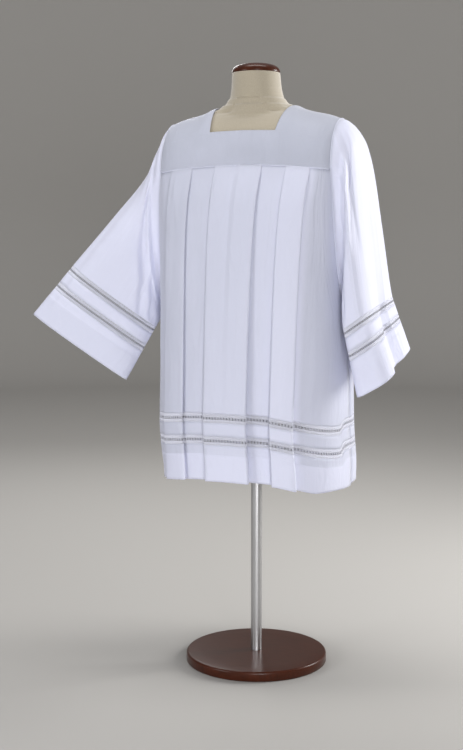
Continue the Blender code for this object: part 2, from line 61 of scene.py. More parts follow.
# The pleated body. Heights run up the cloth, from the hem's edge to the yoke seam.
body = {
    "panelHeight": 0.80,
    "hemZ": 0.505,
    "frontHemLift": 0.023,
    "backHemLift": 0.008,
    "yokeSeamZ": 1.324,
    "yokeSeamDrop": 0.014,
    "underarmZ": 0.965,
    "hemShift": 0.010,
    "hemShiftHeight": 0.16,
    "hemDroop": 0.018,               # the front hangs lower beside the wearer's left side seam
    "droopFrom": (0.10, 0.2525, 0.2560),   # where it starts, is full and ends
    "cornerLift": 0.012,             # the hem's edge curls up again at that corner
    "cornerFrom": (0.195, 0.250, 0.095),   # where it starts and is full, and how high it reaches
    "centreFoldStep": 0.0036,
    "sideMargin": 0.012,
    "paintedLightBelow": 0.25,             # painted light: how much whiter the cloth is painted at the hem than at the yoke
    "pressed": 0.85,                 # how flat the yoke's seam presses the pleats
    "pressedStep": 0.0019,
    "pressedHeight": 0.035,
    "creaseHeight": 0.05,            # the creases start as far below the seam
    # height, half width, front depth, back depth, squareness
    "sections": [
        (0.00, 0.2530, 0.204, 0.190, 2.6),
        (0.10, 0.2580, 0.202, 0.186, 2.6),
        (0.26, 0.2560, 0.197, 0.176, 2.6),
        (0.445, 0.2490, 0.190, 0.162, 2.9),
        (0.60, 0.2450, 0.179, 0.150, 3.5),
        (0.70, 0.2430, 0.163, 0.139, 4.3),
        (0.80, 0.2450, 0.127, 0.122, 5.3),
    ],
    # one fold from the sunken cloth to the proud one: share of the run under, offset, share of the step
    "foldPath": [
        (0.0, -0.0070, 0.00),
        (1.0, -0.0022, 0.00),
        (1.0, 0.0006, 0.22),
        (1.0, -0.0022, 0.45),
        (0.0, 0.0022, 0.55),
        (0.0, -0.0006, 0.78),
        (0.0, 0.0026, 1.00),
    ],
}

yoke = {
    "halfWidth": 0.232,
    "proud": 0.0030,
    "neckFrontZ": 1.413,
    "neckBackZ": 1.440,
    "neckFrontHalf": 0.089,
    "neckShoulderHalf": 0.108,
    # place across, height of the shoulder line
    "shoulderLine": [
        (0.000, 1.4850),
        (0.108, 1.4806),
        (0.134, 1.4702),
        (0.162, 1.4624),
        (0.198, 1.4545),
        (0.232, 1.4430),
    ],
}


def mix(a, b, share):
    return a + (b - a) * share


def smoothStep(value):
    value = np.clip(value, 0.0, 1.0)
    return value * value * (3 - 2 * value)


def unit(vectors):
    return vectors / np.maximum(np.linalg.norm(vectors, axis=-1, keepdims=True), 1e-12)


def readCurve(places, values, at):
    # smooth through the table's rows, and never past them
    places = np.asarray(places, float)
    values = np.asarray(values, float).reshape(len(places), -1)
    at = np.clip(np.asarray(at, float), places[0], places[-1])
    spans = np.diff(places)[:, None]
    slopes = np.diff(values, axis=0) / spans
    tangents = np.zeros_like(values)
    tangents[0], tangents[-1] = slopes[0], slopes[-1]
    before, after = slopes[:-1], slopes[1:]
    sameWay = before * after > 0
    total = np.where(sameWay, before + after, 1.0)
    tangents[1:-1] = np.where(sameWay, 2 * before * after / total, 0.0)
    i = np.clip(np.searchsorted(places, at.ravel(), side="right") - 1, 0, len(spans) - 1)
    t = ((at.ravel() - places[i]) / spans[i, 0])[:, None]
    read = (
        (2 * t**3 - 3 * t**2 + 1) * values[i]
        + (t**3 - 2 * t**2 + t) * spans[i] * tangents[i]
        + (3 * t**2 - 2 * t**3) * values[i + 1]
        + (t**3 - t**2) * spans[i] * tangents[i + 1]
    )
    return read.reshape(at.shape + (-1,))


def tableCurve(table, at):
    table = np.array(table, float)
    return np.moveaxis(readCurve(table[:, 0], table[:, 1:], at), -1, 0)


def creaseDepth(across, along, creases, turn=None):
    # soft troughs, and ridges where the depth is negative, each on its own line with one side softer
    across, along = np.broadcast_arrays(across, along)
    total = np.zeros(across.shape)
    for startAcross, startAlong, endAcross, endAlong, width, softer, depth in creases:
        share = (along - startAlong) / (endAlong - startAlong)
        away = across - mix(startAcross, endAcross, share)
        if turn:
            away = (away + turn / 2) % turn - turn / 2
        away = away / np.where(away > 0, width * softer, width)
        fade = smoothStep(share / 0.3) * smoothStep((1 - share) / 0.3)
        total += depth * fade * np.exp(-away * away)
    return total


def yokeSeamZ(x):
    return body["yokeSeamZ"] - body["yokeSeamDrop"] * (x / yoke["halfWidth"]) ** 2


def hemZ(x, facing):
    lift = body["frontHemLift"] if facing < 0 else body["backHemLift"]
    lifted = body["hemZ"] + lift * np.maximum(0.0, 1 - (x / body["sections"][0][1]) ** 2)
    start, full, end = body["droopFrom"]
    droop = smoothStep((x - start) / (full - start)) * smoothStep((end - x) / (end - full))
    return lifted - body["hemDroop"] * droop * (facing < 0)


def bodySize(height, facing):
    halfWidth, front, back, squareness = tableCurve(body["sections"], height)
    return halfWidth, np.where(facing < 0, front, back), squareness


def sectionAngle(x, halfWidth, squareness):
    return np.copysign(np.arcsin(np.minimum(1.0, np.abs(x) / halfWidth) ** (squareness / 2)), x)


def clothPoint(angle, step, height, facing):
    # a point of the body's cloth, a step out from its section
    halfWidth, depth, squareness = bodySize(height, facing)
    power = 2 / squareness
    across = np.copysign(halfWidth * np.abs(np.sin(angle)) ** power, angle)
    out = depth * np.maximum(0.0, np.cos(angle)) ** power
    normalX = np.copysign((np.abs(across) / halfWidth) ** (squareness - 1) / halfWidth, angle)
    normalY = (out / depth) ** (squareness - 1) / depth
    size = np.hypot(normalX, normalY)
    across = across + normalX / size * step
    out = out + normalY / size * step
    z = mix(hemZ(across, -1 if np.all(facing < 0) else 1), yokeSeamZ(across), height / body["panelHeight"])
    start, full, reach = body["cornerFrom"]
    corner = smoothStep((across - start) / (full - start)) * (1 - smoothStep(height / reach))
    z = z + body["cornerLift"] * corner * (facing < 0)
    shift = body["hemShift"] * (1 - smoothStep(height / body["hemShiftHeight"]))
    return np.stack(np.broadcast_arrays(across + shift, facing * np.maximum(out, garment["sideGap"]), z), -1)


def underarmHeight():
    rise = yokeSeamZ(yoke["halfWidth"]) - body["hemZ"]
    return body["panelHeight"] * (body["underarmZ"] - body["hemZ"]) / rise


def panelEdgeAngle(height, facing):
    # the panel's side edge: the side seam below the underarm, the armhole above it
    top = body["panelHeight"]
    halfWidth, depth, squareness = bodySize(top, facing)
    widest = depth * (1 - (yoke["halfWidth"] / halfWidth) ** squareness) ** (1 / squareness)
    drop = np.clip((top - height) / (top - underarmHeight()), 0.0, 1.0)
    edgeDepth = widest * np.sqrt(1 - drop * drop)
    halfWidth, depth, squareness = bodySize(height, facing)
    return np.arccos(np.minimum(1.0, edgeDepth / depth) ** (squareness / 2))


def cutCorners(points, times=2):
    for _ in range(times):
        near = points[:, :-1] * 0.75 + points[:, 1:] * 0.25
        far = points[:, :-1] * 0.25 + points[:, 1:] * 0.75
        between = np.stack([near, far], axis=2).reshape(len(points), -1, points.shape[2])
        points = np.concatenate([points[:, :1], between, points[:, -1:]], axis=1)
    return points


def pleatedCloth(height, piece):
    # (across, step) of the cloth at each height, from the wearer's right to the left
    up = (height / body["panelHeight"])[:, None]
    path = np.array(body["foldPath"])
    share = np.arange(1, piece["columns"] + 1)[:, None] / (piece["columns"] + 1)
    parts = []
    for number, (yokeX, hemX, faces, yokeStep, hemStep, under) in enumerate(piece["pleats"]):
        x = mix(hemX, yokeX, up**2)
        step = mix(hemStep, yokeStep, up**0.8)
        points = np.stack([x - faces * (path[:, 0] * under + path[:, 1]), step * path[:, 2]], axis=2)
        points = cutCorners(points[:, ::-1] if faces > 0 else points)
        if number > 0:
            flat = mix(parts[-1][:, -1:], points[:, :1], share)
            if number == len(piece["pleats"]) // 2:
                ease = np.interp(share[:, 0], (0, 0.25, 0.47, 0.53, 0.75, 1), (0, -0.4, -1, 0.9, 0.5, 0))
                flat[..., 1] += body["centreFoldStep"] * smoothStep(up) * ease
            parts.append(flat)
        parts.append(points)
    return np.concatenate(parts, axis=1)


def panelGrid(heights, piece):
    # rows of points over a front or back panel, at the given heights
    heights = np.asarray(heights, float)
    facing = piece["facing"]
    halfWidth, _, squareness = (value[:, None] for value in bodySize(heights, facing))
    pleated = pleatedCloth(heights, piece)
    across, step = pleated[..., 0], pleated[..., 1]
    edge = panelEdgeAngle(heights, facing)[:, None]
    first = sectionAngle(across[:, :1] - body["sideMargin"], halfWidth, squareness)
    last = sectionAngle(across[:, -1:] + body["sideMargin"], halfWidth, squareness)
    share = np.linspace(0, 1, piece["sideColumns"] + 1)
    angle = np.hstack([
        mix(-edge, first, share),
        sectionAngle(across, halfWidth, squareness),
        mix(last, edge, share),
    ])
    below, flat = body["panelHeight"] - heights[:, None], body["pressedStep"]
    pressed = mix(body["pressed"], 0.0, smoothStep(below / body["pressedHeight"]))
    step = np.hstack([pressed * share * flat, mix(step, flat, pressed), pressed * share[::-1] * flat])
    hold = np.hstack([smoothStep(share * 2), np.ones(across.shape[1]), smoothStep(share[::-1] * 2)])
    hold = hold * smoothStep(below / body["creaseHeight"])
    place = np.copysign(halfWidth * np.abs(np.sin(angle)) ** (2 / squareness), angle)
    step = step - hold * creaseDepth(place, heights[:, None], piece["creases"])
    grid = clothPoint(angle, step, heights[:, None], facing)
    return grid if facing < 0 else grid[:, ::-1]


def shoulderZ(x):
    return tableCurve(yoke["shoulderLine"], np.abs(x))[0]


def yokePoint(x, angle, facing):
    # angle 0 is the pleat seam and 90 degrees the shoulder line
    halfWidth, depth, squareness = bodySize(body["panelHeight"], facing)
    inside = 1 - np.minimum(1.0, np.abs(x) / halfWidth) ** squareness
    low = depth * inside ** (1 / squareness) + yoke["proud"]
    z = mix(yokeSeamZ(x) + garment["seamGap"], shoulderZ(x), np.sin(angle))
    y = facing * np.maximum(low * np.cos(angle), 0.0)
    return np.stack(np.broadcast_arrays(x, y, z), -1)


def armholeRing(side, share):
    # the armhole's seam, share 0 at the shoulder, then down the front, under the arm and up the back
    facing = np.where(share <= 0.5, -1, 1)
    down = np.minimum(share, 1 - share) * 4
    onYoke = yokePoint(yoke["halfWidth"], np.pi / 2 * (1 - np.minimum(down, 1)), facing)
    height = mix(body["panelHeight"], underarmHeight(), np.sin(np.pi / 2 * np.clip(down - 1, 0, 1)))
    onPanel = np.where(
        (facing < 0)[:, None],
        clothPoint(panelEdgeAngle(height, -1), 0.0, height, -1),
        clothPoint(panelEdgeAngle(height, 1), 0.0, height, 1),
    )
    ring = np.where((down < 1)[:, None], onYoke, onPanel)
    ring[(down < 1e-9) | (down > 2 - 1e-9), 1] = 0.0
    ring[:, 0] = side * (ring[:, 0] + garment["cloth"] / 2 + garment["seamGap"])
    return ring


def sleeveGrid(stations, sleeve):
    # rings of a sleeve, each from its top line round the front, the underarm line and the back
    stations = np.asarray(stations, float)
    table = np.array(sleeve["rings"], float)
    values = readCurve(table[:, 0], table[:, 1:], np.minimum(stations, 1.0))
    values += (table[-1, 1:] - table[-2, 1:]) * np.maximum(stations - 1, 0)[:, None]
    top, under = values[:, None, 0:3], values[:, None, 3:6]
    frontDepth, backDepth, waist, squareness, crease, turn, dip = values[:, 6:].T[:, :, None]
    share = np.arange(sleeve["points"]) / sleeve["points"]
    angle = 2 * np.pi * share
    degrees = 360 * share
    middle = mix(top, under, waist[..., None])
    turn = np.radians(turn)
    forward = np.stack([np.sin(turn), -np.cos(turn), -dip], -1)
    rise = np.copysign(np.abs(np.cos(angle)) ** (2 / squareness), np.cos(angle))[..., None]
    reach = np.copysign(np.abs(np.sin(angle)) ** (2 / squareness), np.sin(angle))
    arm = np.where(rise > 0, (top - middle) * rise, (middle - under) * rise)
    point = middle + arm + forward * (reach * np.where(reach > 0, frontDepth, backDepth))[..., None]
    depth = crease * np.exp(-((degrees - sleeve["creaseAngle"]) / sleeve["creaseWidth"]) ** 2)
    for centre, width, at, reachAlong, drape in sleeve["drapes"]:
        away = ((degrees - centre) / width) ** 2 + ((stations[:, None] - at) / reachAlong) ** 2
        depth = depth + drape * np.exp(-away)
    depth = depth + creaseDepth(degrees, stations[:, None], sleeve["creases"], turn=360)
    depth = depth + creaseDepth(stations[:, None], degrees, sleeve["seamCreases"])
    point = point + unit(middle - point) * depth[..., None]
    blend = smoothStep(stations / sleeve["armholeBlend"])[:, None, None]
    grid = mix(armholeRing(sleeve["side"], share), point, blend)
    return grid if sleeve["side"] < 0 else grid[:, ::-1]


def alongLine(points, closed=False):
    # distance along a line of points, from its start
    if closed:
        points = np.vstack([points, points[:1]])
    return np.concatenate([[0.0], np.cumsum(np.linalg.norm(np.diff(points, axis=0), axis=1))])


def squares(r, c, columns):
    # the corners of the squares that start at row r and column c
    n = (c + 1) % columns
    return np.stack([r * columns + c, r * columns + n, (r + 1) * columns + n, (r + 1) * columns + c], -1)


def closedSquares(grid):
    rows, columns = grid.shape[:2]
    r, c = np.meshgrid(np.arange(rows - 1), np.arange(columns), indexing="ij")
    return squares(r, c, columns).reshape(-1, 4)


def makeMesh(name, points, faces, weave=None):
    used, faces = np.unique(faces, return_inverse=True)
    faces = faces.reshape(-1, 4)
    mesh = bpy.data.meshes.new(name)
    mesh.from_pydata(np.asarray(points).reshape(-1, 3)[used], [], faces)
    if weave is not None:
        layer = mesh.uv_layers.new(name="weave")
        layer.data.foreach_set("uv", np.asarray(weave, np.float32).ravel())
    mesh.shade_smooth()
    return mesh, used


def addPiece(mesh, material, replaced):
    piece = bpy.data.objects.new(mesh.name, mesh)
    piece.data.materials.append(material)
    bpy.context.scene.collection.objects.link(piece)
    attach(piece, "root")
    if replaced:
        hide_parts(*replaced)
    return piece


def makeCloth(name, grid, replaced, white, closed=False, cutOut=None, turnedUp=None):
    # a sheet of cloth over rows of points, with the weave's own coordinates in metres;
    # its white tone is whiter where layers lie on each other and also carries painted light and shade, and
    # it is thicker where the hem is turned up
    rows, columns = grid.shape[:2]
    across = alongLine(grid[rows // 2], closed)
    up = alongLine(grid[:, columns // 2])
    r, c = np.meshgrid(np.arange(rows - 1), np.arange(columns if closed else columns - 1), indexing="ij")
    if cutOut is not None:
        r, c = r[~cutOut], c[~cutOut]
    r, c = r.ravel(), c.ravel()
    weaveU = np.stack([across[c], across[c + 1], across[c + 1], across[c]], -1)
    weaveV = np.stack([up[r], up[r], up[r + 1], up[r + 1]], -1)
    mesh, used = makeMesh(name, grid, squares(r, c, columns), np.stack([weaveU, weaveV], -1))
    tone = np.broadcast_to(white, (rows, columns)).ravel()[used]
    mesh.attributes.new("white", "FLOAT", "POINT").data.foreach_set("value", tone.astype(np.float32))
    piece = addPiece(mesh, whiteCloth, replaced)
    wall = piece.modifiers.new("thickness", "SOLIDIFY")
    wall.thickness = garment["cloth"]
    wall.offset = 0
    if turnedUp is not None:
        thick = np.broadcast_to(turnedUp[:, None], (rows, columns)).ravel()[used]
        group = piece.vertex_groups.new(name="layers")
        group.add(np.flatnonzero(~thick).tolist(), garment["cloth"] / garment["hemCloth"], "REPLACE")
        group.add(np.flatnonzero(thick).tolist(), 1.0, "REPLACE")
        wall.thickness = garment["hemCloth"]
        wall.vertex_group = "layers"
    return piece


def tubes(lines, outward, radius, closed=False):
    # four-sided threads along many lines at once: points and faces
    count, length = lines.shape[:2]
    if closed:
        along = np.roll(lines, -1, axis=1) - np.roll(lines, 1, axis=1)
    else:
        along = np.gradient(lines, axis=1)
    along = unit(along)
    sideways = unit(np.cross(along, outward))
    outward = np.cross(sideways, along)
    turn = np.pi / 2 * np.arange(4)[:, None] + np.pi / 4
    ring = np.cos(turn) * outward[:, :, None] + np.sin(turn) * sideways[:, :, None]
    points = lines[:, :, None] + radius * ring
    index = np.arange(count * length * 4).reshape(count, length, 4)
    ahead = np.roll(index, -1, axis=1) if closed else index[:, 1:]
    here = index if closed else index[:, :-1]
    turned = np.roll(here, -1, axis=2)
    aheadTurned = np.roll(ahead, -1, axis=2)
    faces = [np.stack([here, turned, aheadTurned, ahead], -1).reshape(-1, 4)]
    if not closed:
        faces += [index[:, 0, ::-1], index[:, -1]]
    return points.reshape(-1, 3), np.concatenate(faces)


def makeThreads(name, parts, material, replaced, paintedShadeShares=None):
    points, faces, start = [], [], 0
    for somePoints, someFaces in parts:
        points.append(somePoints)
        faces.append(someFaces + start)
        start += len(somePoints)
    mesh, used = makeMesh(name, np.concatenate(points), np.concatenate(faces))
    # the row attribute carries each part's share of painted shade
    if paintedShadeShares:
        row = np.repeat(paintedShadeShares, [len(somePoints) for somePoints in points])[used]
        mesh.attributes.new("row", "FLOAT", "POINT").data.foreach_set("value", row.astype(np.float32))
    return addPiece(mesh, material, replaced)


def bandSurface(low, high, closed):
    # place(along, up, proud) on the strip of surface between two lines of points
    if closed:
        low, high = np.vstack([low, low[:1]]), np.vstack([high, high[:1]])
    middle = (low + high) / 2
    lengths = alongLine(middle)
    out = unit(np.cross(np.gradient(middle, axis=0), high - low))
    total = lengths[-1]

    def read(values, along):
        return np.stack([np.interp(along, lengths, values[:, k]) for k in range(3)], -1)

    def place(along, up):
        along, up = np.broadcast_arrays(along, up)
        along = along % total if closed else np.clip(along, 0, total)
        return mix(read(low, along), read(high, along), up[..., None]), unit(read(out, along))

    return place, lengths


# Openwork: sheer threads above and below a row of small holes. Places are shares of the band's height.
openwork = {
    "edgeAt": (-0.010, 1.010),
    "edgeRadius": 0.00048,
    # the edge cords get a little painted shade, which tones down their highlight
    "edgePaintedShade": 0.04,
    "threadPitch": 0.00100,
    "threadRadius": 0.00044,
    "zonesReach": (-0.02, 1.02),
    "crossAt": (0.12, 0.24, 0.33, 0.67, 0.76, 0.88),
    "crossRadius": 0.00026,
    "rowAt": (0.400, 0.600),
    "sleeveRowAt": (0.435, 0.565),
    "rowRadius": 0.00060,
    "barPitch": 0.0080,
    "barThreads": (-0.0018, -0.0009, 0.0, 0.0009, 0.0018),
    "barWaist": 0.90,
    "barRadius": 0.00050,
    "barProud": 0.0003,
    "sleevePaintedShade": 0.85,       # the sleeves' rows get paler painted shade, with no darkness inside behind them
    "rowPaintedShade": (1.0, 0.15),   # painted shade: how far the row's cords and its bars are painted towards the darkest colour, for the darkness seen through the holes
    # thread colour, its darker fibres, and the near-black colour of the painted shade on the row
    "colours": ((0.77, 0.78, 0.89, 1), (0.64, 0.65, 0.735, 1), (0.08, 0.075, 0.08, 1)),
}


def makeOpenwork(name, node, low, high, closed, rowAt=openwork["rowAt"], paintedShade=1.0):
    place, lengths = bandSurface(low, high, closed)
    total = lengths[-1]
    parts = []

    def lengthwise(heights, radius):
        along = lengths[:-1] if closed else lengths
        lines, normals = place(along[None, :], np.array(heights)[:, None])
        parts.append(tubes(lines, normals, radius, closed))

    lengthwise(openwork["edgeAt"], openwork["edgeRadius"])
    lengthwise(openwork["crossAt"], openwork["crossRadius"])
    count = int(total / openwork["threadPitch"])
    along = (np.arange(count) + 0.5) * total / count
    for zone in zip(openwork["zonesReach"], rowAt):
        lines, normals = place(along[:, None], np.array(zone)[None, :])
        parts.append(tubes(lines, normals, openwork["threadRadius"]))
    # painted shade shares for each part: a little on the edge cords, none on the other threads
    paintedShadeShares = [openwork["edgePaintedShade"] * paintedShade] + [0.0] * (len(parts) - 1)
    lengthwise(rowAt, openwork["rowRadius"])
    count = int(total / openwork["barPitch"])
    bars = (np.arange(count) + 0.5) * total / count
    low, high = rowAt
    heights = np.array([low - 0.03, mix(low, high, 0.5), high + 0.03])
    squeeze = np.array([1.0, openwork["barWaist"], 1.0])
    for offset in openwork["barThreads"]:
        lines, normals = place(bars[:, None] + offset * squeeze[None, :], heights[None, :])
        parts.append(tubes(lines + normals * openwork["barProud"], normals, openwork["barRadius"]))
    # the row's cords and bars get their painted shade
    paintedShadeShares += [openwork["rowPaintedShade"][0] * paintedShade] + [openwork["rowPaintedShade"][1] * paintedShade] * len(openwork["barThreads"])
    return makeThreads(name, parts, openworkThread, [node], paintedShadeShares)


stitching = {
    "length": 0.0024,
    "gap": 0.0010,
    "radius": 0.00022,
    "rise": 0.00022,
    "rollRadius": 0.0016,     # the seam rolls round the armholes
    "rollProud": 0.0006,
    "footRadius": 0.0013,     # and along the foot of the yoke
    "footProud": 0.0002,
    "yokeAngles": (0.020, 0.055),   # two rows over the foot of the yoke, and one under its neck edge
    "neckAngle": 0.025,
    "halfAngle": 0.005,
    "colours": ((0.68, 0.695, 0.82, 1), (0.58, 0.59, 0.70, 1)),
}


def makeStitches(name, seams):
    # each seam is (low line, high line, closed, height of the cloth's face over the lines)
    parts = []
    for low, high, closed, proud in seams:
        place, lengths = bandSurface(low, high, closed)
        total = lengths[-1]
        count = int(total / (stitching["length"] + stitching["gap"]))
        start = np.arange(count)[:, None] * total / count
        along = start + stitching["length"] * np.array([0.0, 0.5, 1.0])
        rise = np.array([-0.5, 1.2, -0.5]) * stitching["rise"]
        lines, normals = place(along, 0.5)
        parts.append(tubes(lines + normals * (proud + rise)[None, :, None], normals, stitching["radius"]))
    return makeThreads(name, parts, sewingThread, [])


# Materials
def setSockets(node, settings):
    for socket, value in settings.items():
        node.inputs[socket].default_value = value


def newMaterial(name, settings):
    material = bpy.data.materials.new(name)
    material.use_nodes = True
    tree = material.node_tree
    shader = tree.nodes["Principled BSDF"]
    setSockets(shader, settings)
    return material, tree, shader


def addTexture(tree, kind, settings, vector, stretch=None):
    # a texture node on a vector, which is stretched first where that is given
    if stretch:
        mapping = tree.nodes.new("ShaderNodeMapping")
        mapping.inputs["Scale"].default_value = stretch
        tree.links.new(vector, mapping.inputs["Vector"])
        vector = mapping.outputs["Vector"]
    texture = tree.nodes.new(kind)
    setSockets(texture, settings)
    tree.links.new(vector, texture.inputs["Vector"])
    return texture


def addRange(tree, value, settings):
    ramp = tree.nodes.new("ShaderNodeMapRange")
    setSockets(ramp, settings)
    tree.links.new(value, ramp.inputs["Value"])
    return ramp.outputs["Result"]


def addBump(tree, height, strength, distance, target):
    bump = tree.nodes.new("ShaderNodeBump")
    setSockets(bump, {"Strength": strength, "Distance": distance})
    tree.links.new(height, bump.inputs["Height"])
    tree.links.new(bump.outputs["Normal"], target.inputs["Normal"])
    return bump


def mixColours(tree, factor, first, second):
    blend = tree.nodes.new("ShaderNodeMix")
    blend.data_type = "RGBA"
    tree.links.new(factor, blend.inputs["Factor"])
    for socket, colour in ((blend.inputs["A"], first), (blend.inputs["B"], second)):
        if isinstance(colour, tuple):
            socket.default_value = colour
        else:
            tree.links.new(colour, socket)
    return blend.outputs["Result"]


def readAttribute(tree, name):
    attribute = tree.nodes.new("ShaderNodeAttribute")
    attribute.attribute_name = name
    return attribute.outputs["Fac"]


clothLook = {
    "grey": (0.58, 0.60, 0.71, 1),
    "white": (0.76, 0.775, 0.925, 1),
    "mottle": (0.69, 0.705, 0.84, 1),
    "mottleNoise": {"Scale": 5, "Detail": 4},
    "mottleRange": {"From Min": 0.45, "From Max": 0.85, "To Max": 0.6},
    "surface": {"Roughness": 0.62, "Specular IOR Level": 0.35, "Sheen Weight": 0.25, "Sheen Roughness": 0.4},
    "throughColour": (0.74, 0.755, 0.89, 1),
    "through": 0.16,
    "weave": {"Scale": 95, "Distortion": 0.3},
    "weaveBump": (0.35, 0.00005),   # strength and depth
    "crinkle": {"Scale": 1, "Detail": 5, "Roughness": 0.55, "Distortion": 0.6},
    "crinkleStretch": (34, 7, 1),
    "crinkleBump": (0.8, 0.004),
}


def makeClothMaterial(name):
    material, tree, shader = newMaterial(name, clothLook["surface"])
    places = tree.nodes.new("ShaderNodeTexCoord")
    uv = places.outputs["UV"]
    mottle = addTexture(tree, "ShaderNodeTexNoise", clothLook["mottleNoise"], places.outputs["Object"])
    share = addRange(tree, mottle.outputs["Fac"], clothLook["mottleRange"])
    base = mixColours(tree, readAttribute(tree, "white"), clothLook["grey"], clothLook["white"])
    base.node.clamp_factor = False
    tree.links.new(mixColours(tree, share, base, clothLook["mottle"]), shader.inputs["Base Color"])
    weave = tree.nodes.new("ShaderNodeMath")
    weave.operation = "ADD"
    for socket, direction in zip(weave.inputs, ("X", "Y")):
        wave = addTexture(tree, "ShaderNodeTexWave", clothLook["weave"], uv)
        wave.bands_direction = direction
        tree.links.new(wave.outputs["Fac"], socket)
    bump = addBump(tree, weave.outputs["Value"], *clothLook["weaveBump"], shader)
    crinkle = addTexture(tree, "ShaderNodeTexNoise", clothLook["crinkle"], uv, clothLook["crinkleStretch"])
    addBump(tree, crinkle.outputs["Fac"], *clothLook["crinkleBump"], bump)
    through = tree.nodes.new("ShaderNodeBsdfTranslucent")
    through.inputs["Color"].default_value = clothLook["throughColour"]
    tree.links.new(bump.outputs["Normal"], through.inputs["Normal"])
    blend = tree.nodes.new("ShaderNodeMixShader")
    blend.inputs["Fac"].default_value = clothLook["through"]
    tree.links.new(shader.outputs["BSDF"], blend.inputs[1])
    tree.links.new(through.outputs["BSDF"], blend.inputs[2])
    tree.links.new(blend.outputs["Shader"], tree.nodes["Material Output"].inputs["Surface"])
    return material


threadLook = {
    "surface": {"Roughness": 0.7, "Specular IOR Level": 0.3},
    "fibre": {"Scale": 900},
    "fibreBump": (0.3, 0.0001),
}


def makeThreadMaterial(name, colour, darker, shadeColour=None):
    material, tree, shader = newMaterial(name, threadLook["surface"])
    places = tree.nodes.new("ShaderNodeTexCoord").outputs["Object"]
    fibre = addTexture(tree, "ShaderNodeTexNoise", threadLook["fibre"], places).outputs["Fac"]
    base = mixColours(tree, fibre, darker, colour)
    # the row attribute mixes in the painted shade colour
    if shadeColour:
        base = mixColours(tree, readAttribute(tree, "row"), base, shadeColour)
    tree.links.new(base, shader.inputs["Base Color"])
    addBump(tree, fibre, *threadLook["fibreBump"], shader)
    return material


whiteCloth = makeClothMaterial("whiteCloth")
openworkThread = makeThreadMaterial("openworkThread", *openwork["colours"])
sewingThread = makeThreadMaterial("sewingThread", *stitching["colours"])

formLook = {
    "linen": {"Roughness": 0.75, "Sheen Weight": 0.5},
    "linenWeave": {"Scale": 420},
    "linenColours": ((0.33, 0.285, 0.215, 1), (0.43, 0.38, 0.29, 1)),
    "linenBump": (0.3, 0.0003),
    "wood": {"Roughness": 0.30, "Specular IOR Level": 0.20, "Coat Weight": 0.08, "Coat Roughness": 0.12},
    "woodGrain": {"Scale": 22, "Detail": 6},
    "woodStretch": (1, 9, 2),
    "woodColours": ((0.022, 0.006, 0.003, 1), (0.085, 0.020, 0.008, 1)),
    "steel": {"Base Color": (0.55, 0.55, 0.56, 1), "Metallic": 1.0},
    "steelBrush": {"Scale": 1, "Detail": 3},
    "steelStretch": (60, 60, 2400),
    "steelRoughness": {"To Min": 0.26, "To Max": 0.46},
    "steelBump": (0.25, 0.0001),
}


def makeFormMaterial(name, surface, texture, stretch=None, colours=None, roughness=None, bump=None):
    # a noise texture drives the colour, the roughness and the bumps that are given
    material, tree, shader = newMaterial(name, surface)
    places = tree.nodes.new("ShaderNodeTexCoord").outputs["Object"]
    noise = addTexture(tree, "ShaderNodeTexNoise", texture, places, stretch).outputs["Fac"]
    if colours:
        tree.links.new(mixColours(tree, noise, *colours), shader.inputs["Base Color"])
    if roughness:
        tree.links.new(addRange(tree, noise, roughness), shader.inputs["Roughness"])
    if bump:
        addBump(tree, noise, *bump, shader)
    return material


formLinen = makeFormMaterial("formLinen", formLook["linen"], formLook["linenWeave"],
                             colours=formLook["linenColours"], bump=formLook["linenBump"])
turnedWood = makeFormMaterial("turnedWood", formLook["wood"], formLook["woodGrain"],
                              formLook["woodStretch"], colours=formLook["woodColours"])
poleSteel = makeFormMaterial("poleSteel", formLook["steel"], formLook["steelBrush"],
                             formLook["steelStretch"], roughness=formLook["steelRoughness"],
                             bump=formLook["steelBump"])
print("materials made")


# The front and the back
panelCut = {
    "closed": False,
    "sideWhite": 0.10,
    "pleatPaintedLight": (-0.15, 0.75),   # painted light: the pleats are painted whiter from the wearer's right to the left, the side the light comes from
    "hemWhite": 0.95,
    "flat": (0.90, 0.63),
    "stripFlat": (0.92, 0.034),
    "hemFlat": (0.92, 0.0925),
}
frontPiece = {
    "facing": -1,
    "columns": 16,
    "sideColumns": 16,
    "lowRows": 60,
    "highRows": 52,
    # place at the yoke and at the hem, side the fold faces, step at the yoke and at the hem, run under
    "pleats": [
        (-0.190, -0.190, -1, 0.0052, 0.014, 0.016),
        (-0.129, -0.128, 1, 0.0052, 0.012, 0.016),
        (-0.065, -0.064, -1, 0.0056, 0.022, 0.020),
        (0.062, 0.052, 1, 0.0052, 0.026, 0.018),
        (0.126, 0.108, -1, 0.0052, 0.024, 0.018),
        (0.187, 0.162, 1, 0.0056, 0.020, 0.020),
    ],
    # start across and height, end across and height, width, how much softer on one side, depth
    "creases": [
        (-0.222, 0.80, -0.212, 0.30, 0.010, 1.6, 0.004),
        (-0.236, 0.36, -0.238, -0.10, 0.005, 1.3, 0.005),
        (-0.178, 0.80, -0.150, 0.63, 0.006, 1.4, -0.0016),
        (-0.158, 0.78, -0.166, 0.42, 0.009, 1.8, 0.0022),
        (-0.100, 0.79, -0.094, 0.30, 0.016, 1.0, 0.0016),
        (0.030, 0.80, 0.022, 0.20, 0.018, 1.3, -0.0020),
        (0.094, 0.66, 0.084, 0.05, 0.012, 1.4, 0.0020),
        (0.212, 0.79, 0.206, 0.45, 0.012, 1.5, 0.0030),
    ],
    **panelCut,
}
